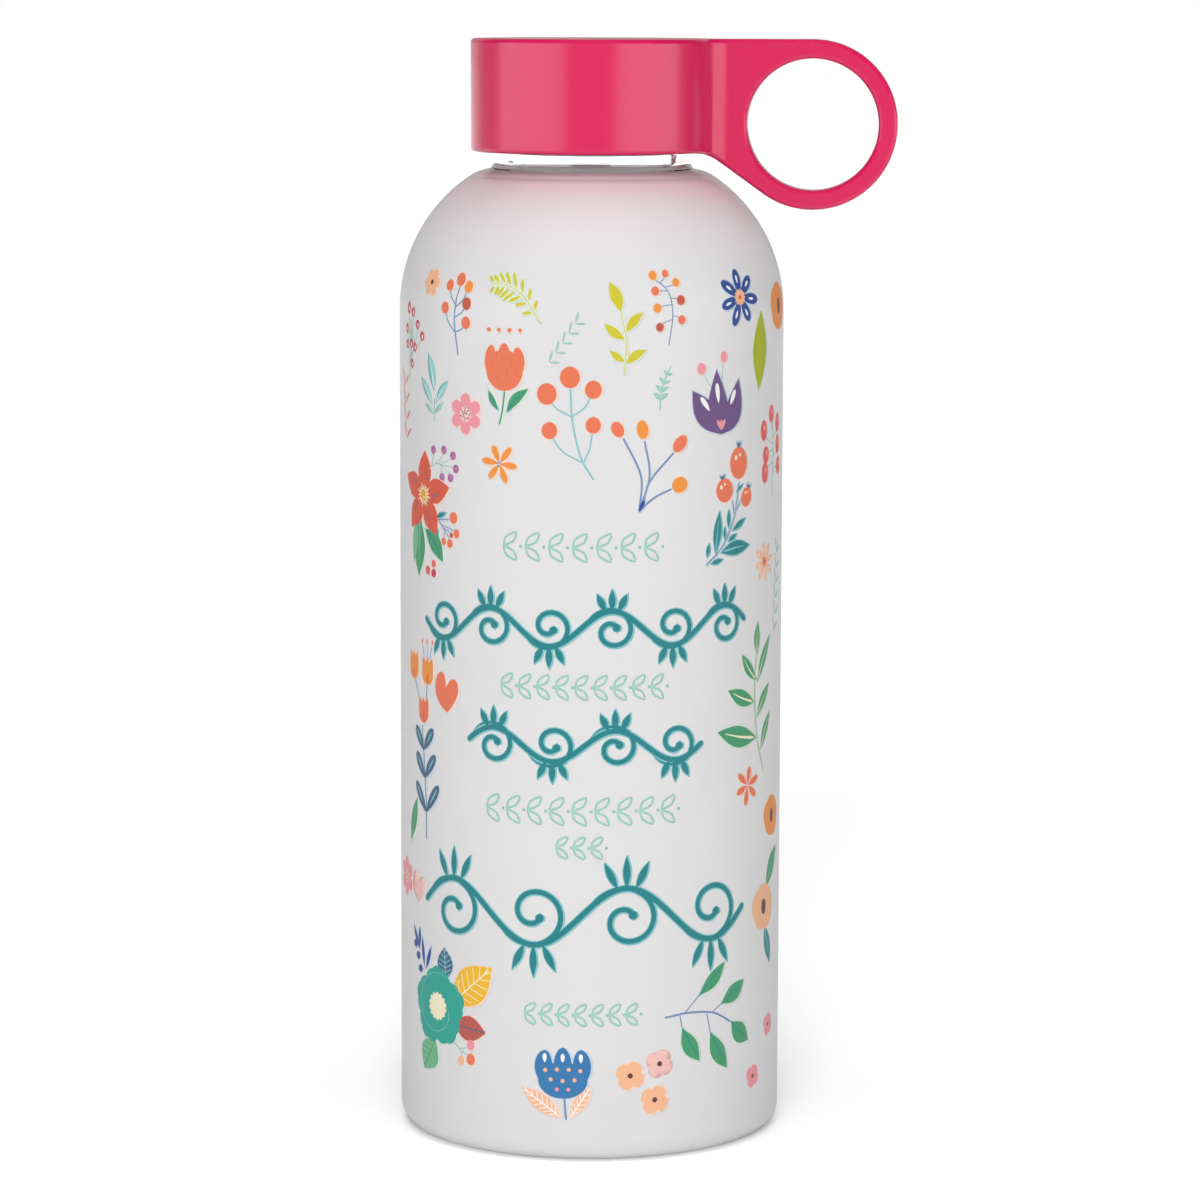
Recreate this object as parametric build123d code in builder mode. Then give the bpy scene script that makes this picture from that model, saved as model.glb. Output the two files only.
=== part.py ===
from build123d import *
import math
import os

# Screw-cap glass water bottle with a finger loop on its cap.
# Millimetres.  The bottle's axis is Z, it stands on Z = 0, and the cap's loop reaches out along +X.

# ---------------------------------------------------------------- driving dimensions

# Glass body
BODY_R = 37.5            # straight wall, outside
WALL = 3.0               # glass thickness of wall and shoulder
HEEL_R = 4.0             # round between the wall and the base
CONTACT_R = 28.0         # inner edge of the flat ring that the bottle stands on
CONTACT_ROUND = 4.0      # round at that edge
PUSH_UP = 3.5            # rise of the base's hollow at the axis
FLOOR_Z = 8.5            # inside floor at the wall's corner
FLOOR_CROWN = 1.5        # extra glass at the middle of the floor
FLOOR_ROUND = 8.0        # round between the inside floor and the wall

# Shoulder: a large round that runs into a small one, which is level where the neck starts
SHOULDER_Z = 161.7       # top of the straight wall
SHOULDER_R = 31.0        # large round
CROWN_R = 8.0            # small round
NECK_FOOT_ROUND = 1.0    # hollow round at the foot of the neck

# Neck and its screw finish
COLLAR_R = 19.3          # plain collar below the thread
COLLAR_TOP_Z = 192.4
CORE_FOOT_Z = 193.6      # the collar tapers in to the core up to here
CORE_R = 18.0            # root of the glass thread
MOUTH_R = 15.5           # bore of the neck
RIM_Z = 208.6            # sealing rim
RIM_ROUND = 0.9
MOUTH_FOOT_ROUND = 2.5   # round inside, between the shoulder and the bore

# Screw thread, right-handed, one start
PITCH = 4.2
GLASS_CREST_R = 19.1
GLASS_THREAD_Z = 196.6   # start of the glass ridge
GLASS_TURNS = 1.6
INSERT_CREST_R = 18.4
INSERT_TURNS = 2.4
RUN_OUT_TURNS = 0.14     # each ridge fades away over this part of a turn
RUN_OUT_SIZE = 0.05      # share of the ridge's height that is left at its very end
RIDGE_BURIED = 0.6       # depth to which a ridge's foot is sunk in its wall
RIDGE_FOOT = 1.2         # half height of a ridge at its foot
RIDGE_CREST = 0.5        # half height of a ridge at its crest

# Cap shell
CAP_R = 23.6
CAP_BOTTOM_Z = 192.2
CAP_TOP_Z = 214.0
CAP_INNER_R = 21.4
CAP_ROOF = 2.0
CAP_EDGE = 0.8           # round on the outer edges of the cap and its loop
LIP_R = 20.8             # bead at the mouth of the shell, which holds the insert in
LIP_HEIGHT = 0.7

# Carry loop, one piece with the cap shell
LOOP_X = 42.9            # centre of the ring
LOOP_R = 16.4
LOOP_HOLE_R = 12.7
LOOP_T = 7.0
LOOP_WEB_R = 5.0         # upright hollow rounds between the loop and the round cap
LOOP_SLOPE = 35.7        # underside, degrees below level
LOOP_UNDER_R = 8.0       # hollow round where the underside leaves the cap

# Threaded insert inside the shell
INSERT_GAP = 0.05        # fit between the insert and the shell
INSERT_BORE_R = 19.5
INSERT_ROOF = 1.6
SPLINES = 12
SPLINE_R = 21.95         # the shell turns the insert through these ribs
SPLINE_W = 2.0
SPLINE_GAP = 0.1         # around each rib in its groove
SPLINE_HEIGHT = 14.0
PLUG_R = 15.0            # skirt that reaches down into the mouth
PLUG_T = 1.2
PLUG_BOTTOM_Z = 203.0
PLUG_TAPER = 0.5         # lead-in at the skirt's lower edge

# Sealing ring
SEAL_OUTER_R = 18.6
SEAL_INNER_R = 15.1
SEAL_GAP = 0.05          # above the glass rim and below the insert's roof
SEAL_ROUND = 0.35

# ---------------------------------------------------------------- places worked out from them

INNER_R = BODY_R - WALL
LARGE_CENTRE_R = BODY_R - SHOULDER_R
SMALL_CENTRE_R = COLLAR_R
SHOULDER_RISE = math.sqrt((SHOULDER_R - CROWN_R) ** 2 - (SMALL_CENTRE_R - LARGE_CENTRE_R) ** 2)
SMALL_CENTRE_Z = SHOULDER_Z + SHOULDER_RISE
TANGENT_ANGLE = math.atan2(SHOULDER_RISE, SMALL_CENTRE_R - LARGE_CENTRE_R)
NECK_FOOT_Z = SMALL_CENTRE_Z + CROWN_R

ROOF_Z = CAP_TOP_Z - CAP_ROOF
LOOP_Z = CAP_TOP_Z - LOOP_R
SLOPE = math.radians(LOOP_SLOPE)
SLOPE_FOOT = (LOOP_X - LOOP_R * math.sin(SLOPE), LOOP_Z - LOOP_R * math.cos(SLOPE))
SLOPE_TOP = (SLOPE_FOOT[0] - (CAP_BOTTOM_Z - SLOPE_FOOT[1]) / math.tan(SLOPE), CAP_BOTTOM_Z)

INSERT_R = CAP_INNER_R - INSERT_GAP
INSERT_BOTTOM_Z = CAP_BOTTOM_Z + LIP_HEIGHT + INSERT_GAP
INSERT_ROOF_Z = ROOF_Z - INSERT_ROOF
INSERT_THREAD_Z = GLASS_THREAD_Z - PITCH / 2    # the two ridges lie midway between each other
SEAL_BOTTOM_Z = RIM_Z + SEAL_GAP
SEAL_TOP_Z = INSERT_ROOF_Z - SEAL_GAP


# ---------------------------------------------------------------- shared shapes


def shoulder_arcs(offset):
    """The two rounds of the shoulder, from the straight wall up to level, offset into the glass."""
    large = SHOULDER_R - offset
    small = CROWN_R - offset
    CenterArc((LARGE_CENTRE_R, SHOULDER_Z), large, 0, math.degrees(TANGENT_ANGLE))
    CenterArc(
        (SMALL_CENTRE_R, SMALL_CENTRE_Z),
        small,
        math.degrees(TANGENT_ANGLE),
        90 - math.degrees(TANGENT_ANGLE),
    )


def corners_at(sketch, *points):
    """The corners of a profile that lie at the given points."""
    return [
        corner
        for corner in sketch.vertices()
        if any(math.dist((corner.X, corner.Y), point) < 0.01 for point in points)
    ]


def ridge_piece(foot_r, crest_r, start_z, start_turn, turns, sizes):
    """One stretch of a helical ridge, whose section changes from the first of sizes to the second."""
    # a helix starts on the X axis whatever its workplane, so it is turned to its place afterwards
    from_x_axis = Helix(pitch=PITCH, height=PITCH * turns, radius=foot_r, mode=Mode.PRIVATE)
    helix = Location((0, 0, start_z + PITCH * start_turn), (0, 0, 360 * start_turn)) * from_x_axis
    buried = math.copysign(RIDGE_BURIED, foot_r - crest_r)
    sections = []
    for place, size in zip((0, 1), sizes):
        point = helix @ place
        outward = Vector(point.X, point.Y, 0)
        foot_half = RIDGE_FOOT * (1 + size) / 2
        crest_half = RIDGE_CREST * (1 + size) / 2
        crest = (crest_r - foot_r) * size
        with BuildSketch(Plane(origin=point, x_dir=outward, z_dir=helix % place)) as section:
            with BuildLine():
                Polyline(
                    (buried, -foot_half),
                    (crest, -crest_half),
                    (crest, crest_half),
                    (buried, foot_half),
                    close=True,
                )
            make_face()
        sections.append(section.sketch)
    sweep(sections, path=helix, multisection=True, is_frenet=True)


def screw_ridge(foot_r, crest_r, start_z, turns):
    """A right-handed thread ridge that fades into its wall at both ends."""
    full = turns - 2 * RUN_OUT_TURNS
    ridge_piece(foot_r, crest_r, start_z, 0, RUN_OUT_TURNS, (RUN_OUT_SIZE, 1))
    ridge_piece(foot_r, crest_r, start_z, RUN_OUT_TURNS, full, (1, 1))
    ridge_piece(foot_r, crest_r, start_z, RUN_OUT_TURNS + full, RUN_OUT_TURNS, (1, RUN_OUT_SIZE))


# ---------------------------------------------------------------- glass bottle

with BuildPart() as glass_bottle:
    with BuildSketch(Plane.XZ) as glass_profile:
        with BuildLine():
            # outside, from the middle of the base to the rim
            TangentArc((0, PUSH_UP), (CONTACT_R, 0), tangent=(1, 0))
            Line((CONTACT_R, 0), (BODY_R - HEEL_R, 0))
            TangentArc((BODY_R - HEEL_R, 0), (BODY_R, HEEL_R), tangent=(1, 0))
            Line((BODY_R, HEEL_R), (BODY_R, SHOULDER_Z))
            shoulder_arcs(0)
            Polyline(
                (COLLAR_R, NECK_FOOT_Z),
                (COLLAR_R, COLLAR_TOP_Z),
                (CORE_R, CORE_FOOT_Z),
                (CORE_R, RIM_Z),
                (MOUTH_R, RIM_Z),
                (MOUTH_R, NECK_FOOT_Z - WALL),
                (COLLAR_R, NECK_FOOT_Z - WALL),
            )
            # inside, from the neck down to the middle of the floor
            shoulder_arcs(WALL)
            Line((INNER_R, SHOULDER_Z), (INNER_R, FLOOR_Z + FLOOR_ROUND))
            TangentArc(
                (INNER_R, FLOOR_Z + FLOOR_ROUND),
                (INNER_R - FLOOR_ROUND, FLOOR_Z),
                tangent=(0, -1),
            )
            TangentArc((0, FLOOR_Z + FLOOR_CROWN), (INNER_R - FLOOR_ROUND, FLOOR_Z), tangent=(1, 0))
            Line((0, FLOOR_Z + FLOOR_CROWN), (0, PUSH_UP))
        make_face()
        fillet(corners_at(glass_profile, (CONTACT_R, 0)), radius=CONTACT_ROUND)
        fillet(corners_at(glass_profile, (COLLAR_R, NECK_FOOT_Z)), radius=NECK_FOOT_ROUND)
        fillet(corners_at(glass_profile, (MOUTH_R, NECK_FOOT_Z - WALL)), radius=MOUTH_FOOT_ROUND)
        fillet(corners_at(glass_profile, (CORE_R, RIM_Z), (MOUTH_R, RIM_Z)), radius=RIM_ROUND)
    revolve(axis=Axis.Z)
    screw_ridge(CORE_R, GLASS_CREST_R, GLASS_THREAD_Z, GLASS_TURNS)
glass_bottle.part.label = "glass_bottle"

# ---------------------------------------------------------------- cap shell with its carry loop

with BuildPart() as cap_shell:
    # plan: the round cap, and the straight-sided loop joined to it by hollow rounds
    with BuildSketch(Plane.XY.offset(CAP_TOP_Z)) as cap_plan:
        Circle(CAP_R)
        with Locations((LOOP_X, 0)):
            Rectangle(2 * LOOP_X, LOOP_T, align=(Align.CENTER, Align.CENTER))
        web_x = math.sqrt(CAP_R**2 - (LOOP_T / 2) ** 2)
        fillet(corners_at(cap_plan, (web_x, LOOP_T / 2), (web_x, -LOOP_T / 2)), radius=LOOP_WEB_R)
    extrude(amount=-2 * LOOP_R)

    # side view: keep the cap's height, the ring and the sloping underside between them
    with BuildSketch(Plane.XZ) as cap_side:
        with BuildLine():
            Polyline(
                (LOOP_X, CAP_TOP_Z),
                (-2 * CAP_R, CAP_TOP_Z),
                (-2 * CAP_R, CAP_BOTTOM_Z),
                SLOPE_TOP,
                SLOPE_FOOT,
            )
            CenterArc((LOOP_X, LOOP_Z), LOOP_R, 270 - LOOP_SLOPE, 180 + LOOP_SLOPE)
        make_face()
        fillet(corners_at(cap_side, SLOPE_TOP), radius=LOOP_UNDER_R)
    extrude(amount=2 * CAP_R, both=True, mode=Mode.INTERSECT)

    # every outer edge but the seams between tangent faces
    seams = cap_shell.edges().filter_by(Axis.Z) + cap_shell.edges().filter_by(Axis.Y)
    fillet(cap_shell.edges() - seams, radius=CAP_EDGE)

    # the finger hole
    with BuildSketch(Plane.XZ):
        with Locations((LOOP_X, LOOP_Z)):
            Circle(LOOP_HOLE_R)
    extrude(amount=LOOP_T, both=True, mode=Mode.SUBTRACT)
    hole_edges = cap_shell.edges().filter_by(GeomType.CIRCLE)
    fillet(hole_edges.filter_by(lambda edge: abs(edge.radius - LOOP_HOLE_R) < 0.01), radius=CAP_EDGE)

    # the room inside, with the lip at its mouth
    with BuildSketch(Plane.XZ):
        with BuildLine():
            Polyline(
                (0, SLOPE_FOOT[1]),
                (LIP_R, SLOPE_FOOT[1]),
                (LIP_R, CAP_BOTTOM_Z + LIP_HEIGHT / 2),
                (CAP_INNER_R, CAP_BOTTOM_Z + LIP_HEIGHT),
                (CAP_INNER_R, ROOF_Z),
                (0, ROOF_Z),
                close=True,
            )
        make_face()
    revolve(axis=Axis.Z, mode=Mode.SUBTRACT)

    # grooves for the insert's ribs
    with BuildSketch(Plane.XY.offset(INSERT_BOTTOM_Z)):
        with PolarLocations(CAP_INNER_R, SPLINES, start_angle=180 / SPLINES):
            Rectangle(2 * (SPLINE_R + SPLINE_GAP - CAP_INNER_R), SPLINE_W + 2 * SPLINE_GAP)
    extrude(amount=SPLINE_HEIGHT + SPLINE_GAP, mode=Mode.SUBTRACT)
cap_shell.part.label = "cap_shell"

# ---------------------------------------------------------------- threaded insert

with BuildPart() as thread_insert:
    with BuildSketch(Plane.XZ):
        with BuildLine():
            Polyline(
                (0, ROOF_Z),
                (INSERT_R, ROOF_Z),
                (INSERT_R, INSERT_BOTTOM_Z),
                (INSERT_BORE_R, INSERT_BOTTOM_Z),
                (INSERT_BORE_R, INSERT_ROOF_Z),
                (PLUG_R, INSERT_ROOF_Z),
                (PLUG_R, PLUG_BOTTOM_Z + 2 * PLUG_TAPER),
                (PLUG_R - PLUG_TAPER, PLUG_BOTTOM_Z),
                (PLUG_R - PLUG_T, PLUG_BOTTOM_Z),
                (PLUG_R - PLUG_T, INSERT_ROOF_Z),
                (0, INSERT_ROOF_Z),
                close=True,
            )
        make_face()
    revolve(axis=Axis.Z)
    with BuildSketch(Plane.XY.offset(INSERT_BOTTOM_Z)):
        with PolarLocations(INSERT_R, SPLINES, start_angle=180 / SPLINES):
            Rectangle(2 * (SPLINE_R - INSERT_R), SPLINE_W)
    extrude(amount=SPLINE_HEIGHT)
    screw_ridge(INSERT_BORE_R, INSERT_CREST_R, INSERT_THREAD_Z, INSERT_TURNS)
thread_insert.part.label = "thread_insert"

# ---------------------------------------------------------------- sealing ring

with BuildPart() as seal_gasket:
    with BuildSketch(Plane.XY.offset(SEAL_BOTTOM_Z)):
        Circle(SEAL_OUTER_R)
        Circle(SEAL_INNER_R, mode=Mode.SUBTRACT)
    extrude(amount=SEAL_TOP_Z - SEAL_BOTTOM_Z)
    fillet(seal_gasket.edges().filter_by(GeomType.CIRCLE), radius=SEAL_ROUND)
seal_gasket.part.label = "seal_gasket"

# ---------------------------------------------------------------- one STEP file for each piece

os.makedirs("parts", exist_ok=True)
for piece in (glass_bottle, cap_shell, thread_insert, seal_gasket):
    export_step(piece.part, f"parts/{piece.part.label}.step")
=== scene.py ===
import math

import bpy
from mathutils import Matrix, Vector
from mathutils.geometry import delaunay_2d_cdt


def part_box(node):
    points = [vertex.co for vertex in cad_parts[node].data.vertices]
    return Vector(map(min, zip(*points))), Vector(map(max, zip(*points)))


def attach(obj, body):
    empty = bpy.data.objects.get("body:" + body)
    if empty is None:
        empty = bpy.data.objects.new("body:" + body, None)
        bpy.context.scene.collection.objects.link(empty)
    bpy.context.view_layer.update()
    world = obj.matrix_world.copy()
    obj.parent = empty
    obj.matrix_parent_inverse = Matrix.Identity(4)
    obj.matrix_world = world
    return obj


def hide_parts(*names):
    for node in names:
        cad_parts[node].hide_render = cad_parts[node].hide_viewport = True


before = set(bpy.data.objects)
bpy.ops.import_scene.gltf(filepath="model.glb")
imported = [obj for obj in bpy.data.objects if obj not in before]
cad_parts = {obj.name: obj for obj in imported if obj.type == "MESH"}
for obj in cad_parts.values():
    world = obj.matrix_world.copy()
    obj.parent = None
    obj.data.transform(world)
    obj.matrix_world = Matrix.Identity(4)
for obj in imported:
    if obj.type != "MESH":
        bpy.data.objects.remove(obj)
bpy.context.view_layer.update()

MM = 0.001

# ---------------- sizes, in metres

glass_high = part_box("glass_bottle")[1]
cap_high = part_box("cap_shell")[1]

BODY_R = glass_high[0]
RIM_Z = glass_high[2]
CAP_TOP_Z = cap_high[2]

# the glass, as in the CAD model
WALL = 3.0 * MM
HEEL_R = 4.0 * MM
CONTACT_R = 28.0 * MM
CONTACT_ROUND = 4.0 * MM
PUSH_UP = 3.5 * MM
FLOOR_Z = 8.5 * MM
FLOOR_CROWN = 1.5 * MM
FLOOR_ROUND = 8.0 * MM
SHOULDER_Z = 161.7 * MM
SHOULDER_R = 31.0 * MM
CROWN_R = 8.0 * MM
COLLAR_R = 19.3 * MM
COLLAR_TOP_Z = 192.4 * MM
CORE_FOOT_Z = 193.6 * MM
CORE_R = 18.0 * MM
MOUTH_R = 15.5 * MM
NECK_FOOT_ROUND = 1.0 * MM
MOUTH_FOOT_ROUND = 2.5 * MM
RIM_ROUND = 0.9 * MM
PITCH = 4.2 * MM
CREST_R = 19.1 * MM
THREAD_Z = 196.6 * MM
THREAD_TURNS = 1.6
RUN_OUT_TURNS = 0.14
RIDGE_FOOT = 1.2 * MM
RIDGE_CREST = 0.5 * MM

# what is left clear between a round of the profile and the first ring of the stretch next to it
CONTACT_EDGE = 0.3 * MM
FLAT_EDGE = 0.5 * MM
NECK_EDGE = 1.5 * MM
WALL_EDGE = 2.0 * MM
BORE_EDGE = 3.0 * MM

LARGE_CENTRE_R = BODY_R - SHOULDER_R
SHOULDER_RISE = math.sqrt((SHOULDER_R - CROWN_R) ** 2 - (COLLAR_R - LARGE_CENTRE_R) ** 2)
SMALL_CENTRE_Z = SHOULDER_Z + SHOULDER_RISE
TANGENT = math.degrees(math.atan2(SHOULDER_RISE, COLLAR_R - LARGE_CENTRE_R))
NECK_FOOT_Z = SMALL_CENTRE_Z + CROWN_R

# ---------------- camera

VIEW_AZIMUTH = 4.0                  # degrees round from the front towards the loop
CAMERA_DISTANCE = 0.882
CAMERA_Z = CAP_TOP_Z + 0.008
AIM_RIGHT = 0.0018
AIM_Z = 0.1041
LENS = 135.4
ROLL = 0.18


def add_object(name, data):
    """A new object in the scene, from its mesh, its light or its camera data."""
    thing = bpy.data.objects.new(name, data)
    bpy.context.collection.objects.link(thing)
    return thing


def add_mesh(name, vertices, faces, materials, slots):
    """A new smooth mesh object. Each face's slot is the place of its material in the list."""
    mesh = bpy.data.meshes.new(name)
    mesh.from_pydata(vertices, [], faces)
    for material in materials:
        mesh.materials.append(material)
    mesh.polygons.foreach_set("material_index", slots)
    mesh.polygons.foreach_set("use_smooth", [True] * len(faces))
    mesh.update()
    return add_object(name, mesh)


def away_at(azimuth):
    """The level direction from the bottle that is so many degrees round from the camera."""
    turn = math.radians(VIEW_AZIMUTH + azimuth)
    return Vector((math.sin(turn), -math.cos(turn), 0))


def look_along(thing, direction):
    """Turns a camera or a light to that direction."""
    thing.rotation_euler = direction.to_track_quat("-Z", "Y").to_euler()


def make_camera():
    """A long lens, level with the cap and tipped down to the middle of the bottle."""
    data = bpy.data.cameras.new("camera")
    data.lens = LENS
    data.sensor_width = 36
    camera = add_object("camera", data)
    camera.location = away_at(0) * CAMERA_DISTANCE + Vector((0, 0, CAMERA_Z))
    aim = away_at(90) * AIM_RIGHT + Vector((0, 0, AIM_Z))
    look_along(camera, aim - camera.location)
    camera.rotation_euler.rotate_axis("Z", math.radians(ROLL))
    bpy.context.scene.camera = camera


make_camera()

# ---------------- node helpers


def new_material(name):
    """A material with nothing but its output, and the list that its nodes go into."""
    material = bpy.data.materials.new(name)
    material.use_nodes = True
    nodes = material.node_tree.nodes
    nodes.clear()
    output = nodes.new("ShaderNodeOutputMaterial")
    return material, nodes, output


def put(nodes, kind, **values):
    """A new node with some of its sockets set by name."""
    node = nodes.new("ShaderNode" + kind)
    for name, value in values.items():
        node.inputs[name.replace("_", " ")].default_value = value
    return node


def join(source, outlet, target, inlet):
    """A link from one node's output to another node's input."""
    target.id_data.links.new(source.outputs[outlet], target.inputs[inlet])


def srgb(red, green, blue):
    """The linear colour of an 8-bit screen colour."""
    def linear(value):
        share = value / 255
        return share / 12.92 if share <= 0.04045 else ((share + 0.055) / 1.055) ** 2.4
    return linear(red), linear(green), linear(blue), 1.0


def fine_bump(nodes, scale, strength, distance):
    """A normal from fine noise in object space, and the noise itself."""
    place = nodes.new("ShaderNodeTexCoord")
    noise = put(nodes, "TexNoise", Scale=scale, Detail=3.0, Roughness=0.6)
    bump = put(nodes, "Bump", Strength=strength, Distance=distance)
    join(place, "Object", noise, "Vector")
    join(noise, "Fac", bump, "Height")
    return bump, noise


# ---------------- materials

CAP_REFLECTION_REACH = 18.0 * MM             # how far below the neck's foot the painted reflection of the pink cap begins
# how quickly the painted reflection of the pink cap fades down the shoulder
CAP_REFLECTION_POWER = 2.6
EVEN_GLASS = (0.55, 0.541, 0.546, 1)
# the colour of the painted pink reflection of the cap, mixed into the glass colour near the neck
PAINTED_CAP_REFLECTION = (0.64, 0.38, 0.43, 1)
THROUGH_SHARE = 0.31                # how much of the light goes through the frosted surface


def frosted_glass():
    """Etched glass that scatters the light, smoother near the neck, where a rosy tint is painted into its
    colour as a reflection of the pink cap.
    """
    material, nodes, output = new_material("frosted_glass")
    bump, _ = fine_bump(nodes, 2600, 0.12, 0.00005)
    shell = put(nodes, "BsdfPrincipled", Roughness=0.36, IOR=1.5, Coat_Roughness=0.10)
    place = nodes.new("ShaderNodeTexCoord")
    parts = nodes.new("ShaderNodeSeparateXYZ")
    rise = put(nodes, "MapRange", From_Min=NECK_FOOT_Z - CAP_REFLECTION_REACH, From_Max=NECK_FOOT_Z)
    near = nodes.new("ShaderNodeMath")
    near.operation = "POWER"
    near.inputs[1].default_value = CAP_REFLECTION_POWER
    # mixes the painted reflection of the pink cap into the glass colour, strongest at the neck
    blush = nodes.new("ShaderNodeMix")
    blush.data_type = "RGBA"
    blush.inputs[6].default_value = EVEN_GLASS
    blush.inputs[7].default_value = PAINTED_CAP_REFLECTION
    join(place, "Object", parts, "Vector")
    join(parts, "Z", rise, "Value")
    join(rise, "Result", near, 0)
    join(near, "Value", shell, "Coat Weight")
    join(near, "Value", blush, 0)
    join(blush, 2, shell, "Base Color")
    through = put(nodes, "BsdfTranslucent", Color=(0.90, 0.90, 0.91, 1))
    mix = put(nodes, "MixShader", Fac=THROUGH_SHARE)
    join(bump, "Normal", shell, "Normal")
    join(shell, "BSDF", mix, 1)
    join(through, "BSDF", mix, 2)
    join(mix, "Shader", output, "Surface")
    return material


def clear_glass():
    """Polished glass with a faint green tint."""
    material, nodes, output = new_material("clear_glass")
    tint = (0.97, 0.985, 0.98, 1)
    glass = put(nodes, "BsdfPrincipled", Base_Color=tint, Roughness=0.015, IOR=1.5, Transmission_Weight=1.0)
    join(glass, "BSDF", output, "Surface")
    return material


def satin_plastic(name, colour, roughness):
    """Satin moulded plastic, with the soft unevenness of a moulding."""
    material, nodes, output = new_material(name)
    bump, _ = fine_bump(nodes, 900, 0.10, 0.0001)
    shell = put(nodes, "BsdfPrincipled", Base_Color=colour, Roughness=roughness, IOR=1.49)
    shell.inputs["Subsurface Weight"].default_value = 0.1
    shell.inputs["Subsurface Radius"].default_value = (0.0015, 0.0004, 0.0004)
    join(bump, "Normal", shell, "Normal")
    join(shell, "BSDF", output, "Surface")
    return material


def silicone():
    """Milky soft silicone."""
    material, nodes, output = new_material("silicone")
    bump, _ = fine_bump(nodes, 1500, 0.08, 0.00005)
    shell = put(nodes, "BsdfPrincipled", Base_Color=(0.80, 0.82, 0.83, 1), Roughness=0.55, IOR=1.41)
    shell.inputs["Subsurface Weight"].default_value = 0.4
    shell.inputs["Subsurface Radius"].default_value = (0.002, 0.002, 0.002)
    join(bump, "Normal", shell, "Normal")
    join(shell, "BSDF", output, "Surface")
    return material


def finish_node(node, material):
    """Gives a CAD node its material."""
    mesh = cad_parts[node].data
    mesh.materials.clear()
    mesh.materials.append(material)


finish_node("cap_shell", satin_plastic("cap_plastic", srgb(172, 15, 68), 0.26))
finish_node("thread_insert", satin_plastic("insert_plastic", srgb(164, 14, 64), 0.36))
finish_node("seal_gasket", silicone())

# ---------------- glass bottle

TURN_STEPS = 256


def arc(centre_r, centre_z, radius, start, end, steps):
    """Points (r, z) on a round of the profile, between two angles in degrees."""
    points = []
    for step in range(steps + 1):
        angle = math.radians(start + (end - start) * step / steps)
        points.append((centre_r + radius * math.cos(angle), centre_z + radius * math.sin(angle)))
    return points


def straight(start, end, steps):
    """Evenly spaced points (r, z) from one place of the profile to another."""
    return [
        (
            start[0] + (end[0] - start[0]) * step / steps,
            start[1] + (end[1] - start[1]) * step / steps,
        )
        for step in range(steps + 1)
    ]


def dome(rise, reach, low, steps):
    """A shallow spherical round from (0, low + rise) out to (reach, low)."""
    radius = (rise**2 + reach**2) / (2 * rise)
    half = math.degrees(math.asin(reach / radius))
    return arc(0, low + rise - radius, radius, 90, 90 - half, steps)


def shoulder(offset):
    """The shoulder's two rounds from the straight wall up, offset into the glass."""
    return arc(LARGE_CENTRE_R, SHOULDER_Z, SHOULDER_R - offset, 0, TANGENT, 24) + arc(
        COLLAR_R, SMALL_CENTRE_Z, CROWN_R - offset, TANGENT, 90, 8
    )


def glass_outside():
    """The outer profile, from the middle of the base up to the foot of the neck."""
    contact = CONTACT_R - CONTACT_ROUND * 0.25
    return (
        dome(PUSH_UP, contact, CONTACT_EDGE, 24)
        + straight((CONTACT_R + FLAT_EDGE, 0), (BODY_R - HEEL_R, 0), 2)
        + arc(BODY_R - HEEL_R, HEEL_R, HEEL_R, -82, 0, 10)
        + straight((BODY_R, HEEL_R + WALL_EDGE), (BODY_R, SHOULDER_Z - WALL_EDGE), 40)
        + shoulder(0)[:-2]
    )


def glass_neck():
    """The neck and the rim, down to the foot of the bore."""
    foot = COLLAR_R + NECK_FOOT_ROUND
    return (
        arc(foot, NECK_FOOT_Z + NECK_FOOT_ROUND, NECK_FOOT_ROUND, 270, 180, 6)
        + straight((COLLAR_R, NECK_FOOT_Z + NECK_EDGE), (COLLAR_R, COLLAR_TOP_Z), 3)
        + straight((CORE_R, CORE_FOOT_Z), (CORE_R, RIM_Z - RIM_ROUND), 60)
        + arc(CORE_R - RIM_ROUND, RIM_Z - RIM_ROUND, RIM_ROUND, 10, 90, 5)
        + arc(MOUTH_R + RIM_ROUND, RIM_Z - RIM_ROUND, RIM_ROUND, 90, 180, 5)
    )


def glass_inside():
    """The inner profile, from the foot of the bore down to the middle of the floor."""
    inner_r = BODY_R - WALL
    foot = NECK_FOOT_Z - WALL
    corner = inner_r - FLOOR_ROUND
    return (
        straight((MOUTH_R, RIM_Z - BORE_EDGE), (MOUTH_R, foot + MOUTH_FOOT_ROUND), 6)
        + arc(MOUTH_R + MOUTH_FOOT_ROUND, foot + MOUTH_FOOT_ROUND, MOUTH_FOOT_ROUND, 190, 270, 6)
        + shoulder(WALL)[::-1]
        + straight((inner_r, SHOULDER_Z - BORE_EDGE), (inner_r, FLOOR_Z + FLOOR_ROUND), 20)
        + arc(corner, FLOOR_Z + FLOOR_ROUND, FLOOR_ROUND, -8, -90, 8)
        + dome(FLOOR_CROWN, corner, FLOOR_Z, 12)[::-1][1:]
    )


def smooth_share(value):
    """0 below 0, 1 above 1, and smooth between."""
    share = min(max(value, 0), 1)
    return share * share * (3 - 2 * share)


def thread_height(angle, height):
    """How far the glass thread stands out of the neck, from 0 to 1, there."""
    crest = RIDGE_CREST * 0.7
    best = 0
    for whole in range(int(THREAD_TURNS) + 1):
        turns = angle / math.tau + whole
        if turns > THREAD_TURNS:
            continue
        size = smooth_share(min(turns, THREAD_TURNS - turns) / RUN_OUT_TURNS)
        away = abs(height - THREAD_Z - PITCH * turns)
        flank = 1 - smooth_share((away - crest) / (RIDGE_FOOT - crest))
        best = max(best, size * flank)
    return best


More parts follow.
